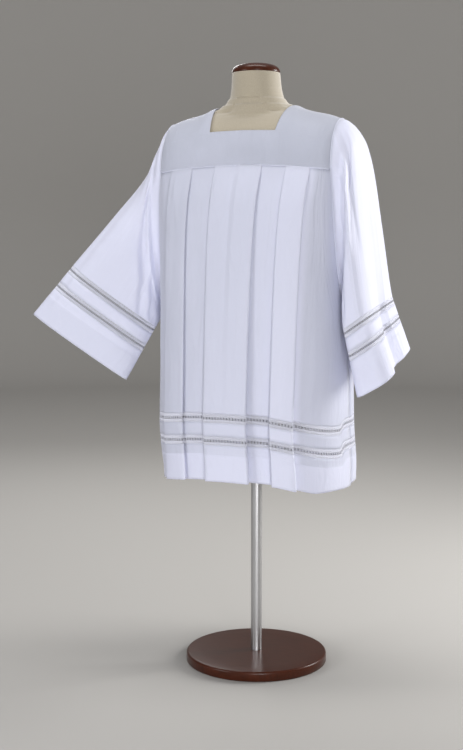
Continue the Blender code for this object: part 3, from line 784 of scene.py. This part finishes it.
backPiece = {
    "facing": 1,
    "columns": 14,
    "sideColumns": 14,
    "lowRows": 42,
    "highRows": 38,
    "pleats": [
        (-0.188, -0.181, -1, 0.0052, 0.018, 0.018),
        (-0.128, -0.120, 1, 0.0052, 0.022, 0.018),
        (-0.064, -0.060, -1, 0.0052, 0.024, 0.018),
        (0.064, 0.060, 1, 0.0052, 0.022, 0.018),
        (0.128, 0.120, -1, 0.0052, 0.020, 0.018),
        (0.188, 0.180, 1, 0.0052, 0.016, 0.018),
    ],
    "creases": [
        (-0.214, 0.80, -0.208, 0.36, 0.011, 1.5, 0.0035),
        (-0.096, 0.77, -0.090, 0.25, 0.015, 1.2, 0.0020),
        (-0.028, 0.80, -0.020, 0.24, 0.018, 1.3, -0.0018),
        (0.096, 0.74, 0.088, 0.12, 0.013, 1.4, 0.0020),
        (0.156, 0.79, 0.150, 0.40, 0.010, 1.5, 0.0022),
        (0.214, 0.80, 0.208, 0.42, 0.012, 1.5, 0.0034),
    ],
    **panelCut,
}


def bandHeights():
    # lower and upper edge of each piece below the main cloth
    half = garment["seamGap"] / 2
    lower, upper = garment["lowerBand"], garment["upperBand"]
    return {
        "lace_upper": (upper[0] + half, upper[1] - half),
        "strip": (lower[1] + half, upper[0] - half),
        "lace_lower": (lower[0] + half, lower[1] - half),
        "hem": (0.0, lower[0] - half),
        "main": upper[1] + half,
    }


def makeBands(stem, piece, surface, white, hem, stitches, rowAt=openwork["rowAt"], paintedShade=1.0):
    # all below a main cloth, and its sheets; surface gives rows of points at heights above the hem's edge
    edges, closed = bandHeights(), piece["closed"]
    order = -1 if closed else 1   # a sleeve's rows run down and a panel's run up
    heights = np.linspace(*edges["strip"], garment["stripRows"])[::order]
    strip = makeCloth(f"{stem}Strip", surface(heights), [f"{stem}_strip"], white, closed)
    turned, sharp = garment["hemDepth"], garment["sharp"]
    heights = np.concatenate([
        np.linspace(0, turned - sharp, garment["turnedRows"]),
        np.linspace(turned + sharp, edges["hem"][1], garment["plainRows"]),
    ])[::order]
    turnedUp = heights < turned
    tone = np.where(turnedUp[:, None], piece["hemWhite"], white)
    node = f"{stem}_{hem.lower()}"
    edge = makeCloth(f"{stem}{hem}", surface(heights), [node], tone, closed, turnedUp=turnedUp)
    for band, node in (("Upper", "lace_upper"), ("Lower", "lace_lower")):
        lines = surface(edges[node][::order])
        makeOpenwork(f"{stem}{band}Openwork", f"{stem}_{node}", *lines, closed, rowAt, paintedShade)
    inset, face, seams = garment["stitchInset"], garment["cloth"] / 2, []
    for height, proud in ((turned - inset, garment["hemCloth"] / 2),
                          (edges["main"] + garment["panelInset"], face),
                          (edges["strip"][0] + inset, face),
                          (edges["strip"][1] - inset, face),
                          (edges["hem"][1] - inset, face)):
        seams.append((*surface((height - sharp, height + sharp)[::order]), closed, proud))
    makeStitches(f"{stem}{stitches}", seams)


def makeBody(stem, piece):
    underarm, top = underarmHeight(), body["panelHeight"]
    heights = np.concatenate([
        np.linspace(bandHeights()["main"], underarm, piece["lowRows"], endpoint=False),
        mix(top, underarm, np.sin(np.pi / 2 * np.linspace(1, 0, piece["highRows"]))),
    ])
    heights[-1] = top + garment["tuckedIn"]
    sides = np.full(piece["sideColumns"] + 1, piece["sideWhite"])
    pleats = pleatedCloth(np.zeros(1), piece).shape[1]
    white = np.concatenate([sides, np.linspace(*piece["pleatPaintedLight"], pleats), sides])[::-piece["facing"]]
    # painted light: the tone grows whiter towards the hem
    white = white + body["paintedLightBelow"]
    tone = white - body["paintedLightBelow"] * (heights / top)[:, None]
    main = makeCloth(f"{stem}Panel", panelGrid(heights, piece), [f"{stem}_panel"], tone)
    makeBands(stem, piece, lambda heights: panelGrid(heights, piece), white, "Hem", "Stitches")
    print(stem, "made")


# Sleeves. A station is 0 at the armhole, 1 at the top of the upper band and 2 at the cuff's edge.
sleeveCut = {
    "closed": True,
    "points": 144,
    "rows": 96,
    "crowding": 1.15,        # the rows lie closer together towards the armhole
    "armholeBlend": 0.18,
    "whiteReach": 0.09,      # how far the tone of the armhole seam reaches
    "flat": (0.94, 0.46),
    "area": 0.190,
    "stripFlat": (0.62, 0.034),
    "hemFlat": (0.60, 0.0925),
}
rightSleeve = {
    "side": -1,
    "creaseAngle": 27,
    "creaseWidth": 12,
    # station, top x y z, under x y z, front and back depth, waist, squareness, crease, turn, dip
    "rings": [
        (0.00, -0.2320, 0.000, 1.4430, -0.2505, 0.000, 0.965, 0.0985, 0.0985, 0.25, 2.0, 0.000, 0.0, 0.0),
        (0.08, -0.2500, 0.000, 1.4220, -0.2630, 0.000, 0.964, 0.0990, 0.0990, 0.26, 2.0, 0.000, 0.0, 0.0),
        (0.18, -0.2705, 0.000, 1.3830, -0.2690, -0.003, 0.957, 0.0980, 0.0980, 0.28, 2.0, 0.001, 2.0, 0.0),
        (0.34, -0.3040, -0.010, 1.3190, -0.2710, -0.011, 0.944, 0.0920, 0.0920, 0.31, 2.0, 0.003, 7.0, 0.0),
        (0.65, -0.3930, -0.054, 1.1990, -0.2730, -0.022, 0.925, 0.0760, 0.0760, 0.36, 2.1, 0.005, 17.0, 0.0),
        (1.00, -0.4960, -0.102, 1.0670, -0.2780, -0.038, 0.904, 0.0600, 0.0600, 0.40, 2.2, 0.006, 22.0, 0.0),
        (2.00, -0.5935, -0.150, 0.9356, -0.3290, -0.120, 0.765, 0.0320, 0.0320, 0.45, 2.2, 0.004, 22.6, 0.0),
    ],
    # angle, its width, station, its reach, depth
    "drapes": [
        (112.0, 42.0, 0.14, 0.09, 0.011),
        (122.0, 40.0, 0.46, 0.12, 0.010),
        (250.0, 40.0, 0.30, 0.12, 0.014),
    ],
    # start angle and station, end angle and station, width, how much softer on one side, depth
    "creases": [
        (52, 0.04, 66, 0.40, 7, 1.8, 0.0040),
        (72, 0.14, 122, 0.66, 6, 2.0, 0.0075),
        (108, 0.34, 143, 1.20, 6, 1.8, 0.0085),
        (128, 0.10, 156, 1.10, 6, 1.7, 0.0080),
        (292, 0.02, 276, 0.60, 10, 1.7, 0.0050),
        (248, 0.10, 240, 1.10, 11, 1.6, 0.0055),
        (210, 0.20, 216, 1.20, 9, 1.6, 0.0050),
    ],
    # the same, running round beside the armhole seam: station and angle, width in stations
    "seamCreases": [
        (0.070, 8, 0.080, 110, 0.018, 1.6, -0.0045),
        (0.125, 20, 0.150, 100, 0.026, 1.4, 0.0060),
        (0.055, 80, 0.125, 168, 0.026, 1.5, 0.0075),
        (0.120, 262, 0.110, 350, 0.030, 1.5, 0.0035),
    ],
    "white": (0.00, 1.35, 0.95),    # at the armhole seam, just below it and at the bands: the seam's tone is near the yoke's painted shade, the whiter tone below it is painted light on the upper sleeve
    # painted shade: this cuff's turned-up hem is toned greyer than the sleeve
    "hemWhite": 0.72,
    **sleeveCut,
}
leftSleeve = {
    "side": 1,
    "creaseAngle": 3,
    "creaseWidth": 14,
    "rings": [
        (0.00, 0.2320, 0.000, 1.4430, 0.2505, 0.000, 0.965, 0.0985, 0.0985, 0.25, 2.0, 0.000, 0.0, 0.00),
        (0.08, 0.2640, 0.000, 1.4290, 0.2630, 0.000, 0.964, 0.1000, 0.0960, 0.28, 2.1, 0.000, -2.0, 0.00),
        (0.18, 0.2820, 0.000, 1.3900, 0.2690, 0.000, 0.957, 0.1040, 0.0880, 0.32, 2.3, 0.001, -4.0, 0.03),
        (0.32, 0.2960, 0.000, 1.3300, 0.2710, 0.000, 0.951, 0.1090, 0.0800, 0.38, 2.6, 0.004, -7.0, 0.08),
        (0.60, 0.3150, 0.000, 1.1900, 0.2720, 0.000, 0.942, 0.1140, 0.0790, 0.44, 3.1, 0.007, -9.0, 0.14),
        (1.00, 0.3480, 0.000, 0.9800, 0.2740, 0.000, 0.928, 0.1140, 0.0800, 0.48, 3.6, 0.010, -8.0, 0.21),
        (2.00, 0.4010, 0.000, 0.8330, 0.3020, 0.000, 0.776, 0.1080, 0.0850, 0.50, 4.0, 0.014, -3.0, 0.40),
    ],
    "drapes": [
        (64.0, 19.0, 0.30, 0.26, 0.010),
        (116.0, 19.0, 0.40, 0.30, 0.009),
        (296.0, 20.0, 0.36, 0.30, 0.010),
        (244.0, 20.0, 0.60, 0.45, 0.009),
    ],
    "creases": [
        (42, 0.00, 86, 0.24, 5, 1.5, -0.0080),
        (84, 0.06, 66, 0.75, 6, 1.3, -0.0065),
        (34, 0.02, 66, 0.32, 6, 1.5, 0.0070),
        (64, 0.12, 38, 0.75, 7, 1.6, 0.0060),
        (98, 0.18, 108, 0.95, 8, 1.5, 0.0045),
        (-3, 0.70, 27, 2.70, 30, 0.12, 0.0120),
        (300, 0.02, 290, 0.60, 7, 2.0, 0.0050),
        (262, 0.10, 256, 0.90, 8, 1.6, 0.0040),
        (234, 0.30, 228, 1.60, 9, 1.6, 0.0050),
    ],
    "seamCreases": [
        (0.030, 60, 0.085, 128, 0.018, 1.4, -0.0030),
        (0.110, 44, 0.105, 122, 0.024, 1.3, 0.0080),
        (0.120, 240, 0.110, 350, 0.030, 1.5, 0.0040),
    ],
    # the tone at the armhole seam is near the yoke's painted shade, and the whiter tone below it is painted
    # light on the upper sleeve
    "white": (-0.30, 1.10, 0.95),
    "hemWhite": 0.95,
    **sleeveCut,
}


def makeSleeve(stem, sleeve):
    def surface(distance):
        return sleeveGrid(2 - np.asarray(distance) / garment["upperBand"][1], sleeve)

    end = 2 - bandHeights()["main"] / garment["upperBand"][1]
    stations = np.linspace(0, 1, sleeve["rows"]) ** sleeve["crowding"] * end
    atSeam, above, white = sleeve["white"]
    # painted light and shade: the tone starts near the yoke's greyer tone at the seam, is whitest just below
    # it and eases to the bands' tone
    tone = mix(atSeam, above, smoothStep(stations / sleeve["whiteReach"]))
    tone = mix(tone, white, smoothStep(stations))[:, None]
    main = makeCloth(f"{stem}Sleeve", sleeveGrid(stations, sleeve), [f"{stem}_sleeve"], tone, closed=True)
    makeBands(stem, sleeve, surface, white, "Cuff", "SleeveStitches",
              openwork["sleeveRowAt"], openwork["sleevePaintedShade"])
    print(stem, "sleeve made")


# The yoke, one cloth over both shoulders
yokeCloth = {
    "outerColumns": 40,
    "innerColumns": 36,
    "bibRows": 22,
    "shoulderRows": 30,
    # painted shade: the yoke is toned greyer than the panels
    "white": -0.35,
    "flat": (0.47, 0.46),
    "area": 0.18,
}


def neckAngle(facing):
    neckZ = yoke["neckFrontZ"] if facing < 0 else yoke["neckBackZ"]
    return math.asin((neckZ - body["yokeSeamZ"]) / (float(shoulderZ(0.0)) - body["yokeSeamZ"]))


def makeYoke():
    rows, openRows = [], []
    shares = np.linspace(0, 1, yokeCloth["outerColumns"] + 1)
    innerShares = np.linspace(1, -1, yokeCloth["innerColumns"] + 1)[1:-1]
    for facing in (-1, 1):
        neck = neckAngle(facing)
        angles = np.concatenate([
            np.linspace(0, neck, yokeCloth["bibRows"]),
            np.linspace(neck, np.pi / 2, yokeCloth["shoulderRows"])[1:],
        ])
        above = np.maximum(0, (angles - neck) / (np.pi / 2 - neck))
        neckHalf = mix(yoke["neckFrontHalf"], yoke["neckShoulderHalf"], above)[:, None]
        outer = mix(yoke["halfWidth"], neckHalf, shares)
        x = np.hstack([outer, neckHalf * innerShares, -outer[:, ::-1]])
        grid = yokePoint(x, angles[:, None], facing)
        isOpen = np.zeros((len(angles), grid.shape[1] - 1), bool)
        isOpen[angles >= neck - 1e-9, len(shares) - 1:-(len(shares) - 1)] = True
        if facing < 0:
            rows.append(grid[:, ::-1])
            openRows.append(isOpen[:-1])
        else:
            rows.append(grid[-2::-1, ::-1])
            openRows.append(isOpen[-2::-1])
    grid = np.concatenate(rows)
    isOpen = np.concatenate(openRows)
    print("yoke made")
    return makeCloth("yoke", grid, ["yoke_front", "yoke_back"], yokeCloth["white"], cutOut=isOpen)


# The limbless form under the garment
form = {
    "points": 96,
    "clearance": 0.0024,
    # height, half width, front and back
    "torso": [
        (0.790, 0.158, 0.112, 0.118),
        (0.860, 0.172, 0.120, 0.130),
        (0.940, 0.165, 0.116, 0.118),
        (1.030, 0.148, 0.110, 0.098),
        (1.130, 0.162, 0.120, 0.104),
        (1.230, 0.178, 0.128, 0.112),
        (1.310, 0.186, 0.116, 0.110),
    ],
    "shoulderHeights": (1.375, 1.415, 1.438, 1.4505, 1.4585, 1.4655),
    "shoulderHalf": 0.205,
    "shoulderDepth": 0.112,
    # height, half width, half depth
    "neck": [
        (1.474, 0.0940, 0.0660),
        (1.484, 0.0780, 0.0660),
        (1.500, 0.0690, 0.0660),
        (1.525, 0.0650, 0.0650),
        (1.566, 0.0625, 0.0625),
    ],
    "neckLean": -0.010,
    "neckRoot": (0.086, 0.070),   # half width and depth of the neck's root, inside the neck opening
    "rowsFrom": (0.790, 1.360),   # where the rows start, and where they lie closer
    "rowSteps": (0.015, 0.004),
    "smoothFrom": 1.466,          # the neck's root is smoothed into the shoulders above this
    "smoothPasses": 60,
    "gap": 0.0003,
    "capEdge": (0.0012, 0.0006),  # how far the cap's lower edge is rounded in, and its height
    "capRows": 24,
    "tip": 0.0005,
    "capHeight": 0.024,
    "baseRadius": 0.190,
    "baseHeight": 0.026,
    "baseEdge": 0.006,
    "baseFoot": 0.002,            # the slope under its edge
    "baseTopRings": (0.1425, 0.05, 0.02),
}


def makeRings(name, rings, material, node):
    # a solid over rings of points, closed at both ends
    rows, columns = rings.shape[:2]
    faces = [closedSquares(rings)]
    points = rings.reshape(-1, 3)
    for row, middle in ((0, rings[0].mean(axis=0)), (rows - 1, rings[-1].mean(axis=0))):
        even = np.arange(0, columns, 2)
        edge = [row * columns + (even + ahead) % columns for ahead in (0, 1, 2)]
        if row:
            edge = edge[::-1]
        faces.append(np.stack([np.full(len(even), len(points))] + edge[::-1], -1))
        points = np.vstack([points, middle])
    return addPiece(makeMesh(name, points, np.concatenate(faces))[0], material, [node])


def turned(profile, centreY=0.0, count=form["points"]):
    # rings round an upright axis from (radius, height) pairs
    spin = np.linspace(0, 2 * np.pi, count, endpoint=False)
    profile = np.array(profile)
    return np.stack([
        profile[:, :1] * np.cos(spin),
        profile[:, :1] * np.sin(spin) + centreY,
        np.repeat(profile[:, 1:], len(spin), axis=1),
    ], -1)


def torsoRings():
    spin = np.linspace(0, 2 * np.pi, form["points"], endpoint=False)
    sin, cos = np.sin(spin), np.cos(spin)
    rings, heights = [], []

    def addRing(halfWidth, front, back, z, shift=0.0):
        depth = np.where(cos > 0, front, back)
        rings.append(np.stack([halfWidth * sin, shift - depth * cos], -1))
        heights.append(z)

    for z, halfWidth, front, back in form["torso"]:
        addRing(halfWidth, front, back, z)
    under = form["clearance"] + garment["cloth"] / 2
    across = np.linspace(0, form["shoulderHalf"], 400)
    for z in form["shoulderHeights"]:
        halfWidth = across[shoulderZ(across) - under >= z][-1]
        x = halfWidth * sin
        rise = (z - body["yokeSeamZ"]) / (shoulderZ(x) - under - body["yokeSeamZ"])
        facing = np.where(cos > 0, -1, 1)
        wide, depth, squareness = bodySize(np.full(len(spin), body["panelHeight"]), facing)
        depth = depth * (1 - (np.abs(x) / wide) ** squareness) ** (1 / squareness) - 2 * under
        depth = depth * np.sqrt(np.maximum(0, 1 - rise * rise))
        end = np.sqrt(np.maximum(0, 1 - (x / form["shoulderHalf"]) ** 4))
        depth = np.minimum(depth, form["shoulderDepth"] * end)
        root = np.sqrt(np.maximum(0, 1 - (x / form["neckRoot"][0]) ** 2))
        depth = np.maximum(depth, form["neckRoot"][1] * root)
        flat = np.clip(np.abs(cos) * 8, 0, 1)
        rings.append(np.stack([x, facing * depth * flat], -1))
        heights.append(z)
    for z, halfWidth, halfDepth in form["neck"]:
        lean = form["neckLean"] * (z - form["neck"][0][0]) / (form["neck"][-1][0] - form["neck"][0][0])
        addRing(halfWidth, halfDepth, halfDepth, z, lean)
    start, closer = form["rowsFrom"]
    wideStep, fineStep = form["rowSteps"]
    evenly = [np.arange(start, closer, wideStep), np.arange(closer, heights[-1], fineStep)]
    fine = np.unique(np.concatenate([heights] + evenly))
    values = np.array(rings).reshape(len(rings), -1)
    read = readCurve(heights, values, fine).reshape(len(fine), -1, 2)
    neck = np.flatnonzero(fine > form["smoothFrom"])[1:-1]
    for _ in range(form["smoothPasses"]):
        read[neck] = (read[neck - 1] + 2 * read[neck] + read[neck + 1]) / 4
    return np.dstack([read, np.repeat(fine[:, None], read.shape[1], axis=1)])


def makeForm():
    makeRings("formTorso", torsoRings(), formLinen, "form_torso")
    foot = form["neck"][-1][0] + form["gap"]
    turn = np.linspace(0, 1, form["capRows"])
    radius = form["neck"][-1][1] * np.cos(np.pi / 2 * turn) ** 0.7
    height = foot + form["capHeight"] * np.sin(np.pi / 2 * turn) ** 0.8
    inward, edgeHeight = form["capEdge"]
    cap = [(radius[0] - inward, foot)]
    cap += [(max(r, form["tip"]), z) for r, z in zip(radius, height + edgeHeight)]
    cap[-1] = (form["tip"], foot + form["capHeight"])
    makeRings("neckCap", turned(cap, form["neckLean"]), turnedWood, "form_neck_cap")
    wide, high, edge = form["baseRadius"], form["baseHeight"], form["baseEdge"]
    bend = np.radians(np.linspace(0, 90, 9))
    foot = form["baseFoot"]
    base = [(wide - foot, 0.0), (wide, foot)]
    base += [(wide - edge + edge * math.cos(a), high - edge + edge * math.sin(a)) for a in bend]
    base += [(radius, high) for radius in form["baseTopRings"]]
    makeRings("standBase", turned(base), turnedWood, "form_base")
    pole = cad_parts["form_pole"]
    pole.data.materials.clear()
    pole.data.materials.append(poleSteel)
    print("form made")


def makeSeamRolls():
    # the seams' turnings show as narrow rolls: round both armholes and along the foot of the yoke
    share = np.linspace(0, 1, 241)[:-1]
    parts = []
    for side in (-1, 1):
        ring = armholeRing(side, share)
        ring[:, 0] -= side * (garment["cloth"] / 2 + garment["seamGap"] / 2)
        outward = ring - ring.mean(axis=0)
        outward[:, 0] = 0
        outward = unit(outward)
        ring += outward * stitching["rollProud"]
        parts.append(tubes(ring[None], outward[None], stitching["rollRadius"], closed=True))
    x = np.linspace(-yoke["halfWidth"] + 0.001, yoke["halfWidth"] - 0.001, 200)
    for facing in (-1, 1):
        foot = yokePoint(x, 0.0, facing)
        outward = np.zeros_like(foot)
        outward[:, 1] = facing
        foot += stitching["footProud"] * outward
        parts.append(tubes(foot[None], outward[None], stitching["footRadius"]))
    return makeThreads("seamRolls", parts, sewingThread, [])


def makeYokeStitches():
    x = np.linspace(-yoke["halfWidth"] + 0.002, yoke["halfWidth"] - 0.002, 160)
    seams, half = [], stitching["halfAngle"]
    for facing in (-1, 1):
        for angle in (*stitching["yokeAngles"], neckAngle(facing) - stitching["neckAngle"]):
            low, high = yokePoint(x, angle - half, facing), yokePoint(x, angle + half, facing)
            seams.append((low, high, False, garment["cloth"] / 2 * -facing))
    return makeStitches("yokeStitches", seams)


makeBody("front", frontPiece)
makeBody("back", backPiece)
makeSleeve("right", rightSleeve)
makeSleeve("left", leftSleeve)
yokePiece = makeYoke()
makeForm()
yokeTrim = [makeSeamRolls(), makeYokeStitches()]


# The studio
studio = {
    "floorRings": (0.001, 2, 4),
    "floorRadius": 6.5,
    "bend": 1.6,
    "wallHeight": 6.0,
    "floorDrop": 0.0005,      # just under the base
    "surface": {"Base Color": (0.43, 0.418, 0.402, 1), "Roughness": 0.9, "Specular IOR Level": 0.1},
    "sky": {"Color": (0.97, 0.98, 1.0, 1), "Strength": 0.31},
    # name, place, aimed at, width, height, power, colour
    "lights": [
        ("keyLow", (2.05, -4.05, 0.95), (0.05, 0.0, 0.8), 1.6, 1.1, 118, (1.0, 1.0, 1.0)),
        ("sideRight", (2.1, 1.6, 1.5), (0.35, 0.0, 1.15), 0.8, 1.6, 74, (1.0, 0.995, 0.98)),
        ("fillLeft", (-2.2, -3.0, 1.4), (-0.35, 0.0, 1.1), 1.3, 1.3, 46, (0.97, 0.98, 1.0)),
        ("rimLeft", (-1.6, 2.4, 2.3), (-0.35, 0.0, 1.15), 0.8, 1.2, 18, (1.0, 1.0, 1.0)),
        ("backdrop", (0.0, 0.2, 5.0), (-1.5, 5.5, 1.0), 3.0, 2.0, 165, (1.0, 0.985, 0.96)),
    ],
    "cameraPlace": (1.196, -3.119, 1.1315),
    "cameraPitch": -6.039,
    "cameraTurn": 22.14,
    "lens": 60.41,
}


def makeStudio():
    radius, bend = studio["floorRadius"], studio["bend"]
    turn = np.linspace(0, np.pi / 2, 13)
    profile = np.array(
        [(inner, 0) for inner in studio["floorRings"]] + [(radius, 0)]
        + [(radius + bend * math.sin(a), bend - bend * math.cos(a)) for a in turn[1:]]
        + [(radius + bend, studio["wallHeight"])]
    )
    rings = turned(profile - (0, studio["floorDrop"]), count=72)
    mesh = makeMesh("studioFloor", rings, closedSquares(rings))[0]
    mesh.materials.append(newMaterial("studioGrey", studio["surface"])[0])
    floor = bpy.data.objects.new("studioFloor", mesh)
    bpy.context.scene.collection.objects.link(floor)
    world = bpy.data.worlds.new("studioSky")
    world.use_nodes = True
    setSockets(world.node_tree.nodes["Background"], studio["sky"])
    bpy.context.scene.world = world
    for name, place, aim, width, height, power, colour in studio["lights"]:
        data = bpy.data.lights.new(name, "AREA")
        data.shape = "RECTANGLE"
        data.size, data.size_y = width, height
        data.energy = power
        data.color = colour
        light = bpy.data.objects.new(name, data)
        light.location = place
        light.rotation_euler = (Vector(aim) - Vector(place)).to_track_quat("-Z", "Y").to_euler()
        bpy.context.scene.collection.objects.link(light)
    camera = bpy.data.objects.new("camera", bpy.data.cameras.new("camera"))
    camera.location = studio["cameraPlace"]
    camera.rotation_euler = (math.radians(90 + studio["cameraPitch"]), 0, math.radians(studio["cameraTurn"]))
    camera.data.lens = studio["lens"]
    camera.data.sensor_width = 36
    bpy.context.scene.collection.objects.link(camera)
    bpy.context.scene.camera = camera
    bpy.context.scene.view_settings.view_transform = "Standard"


makeStudio()
print("studio made")
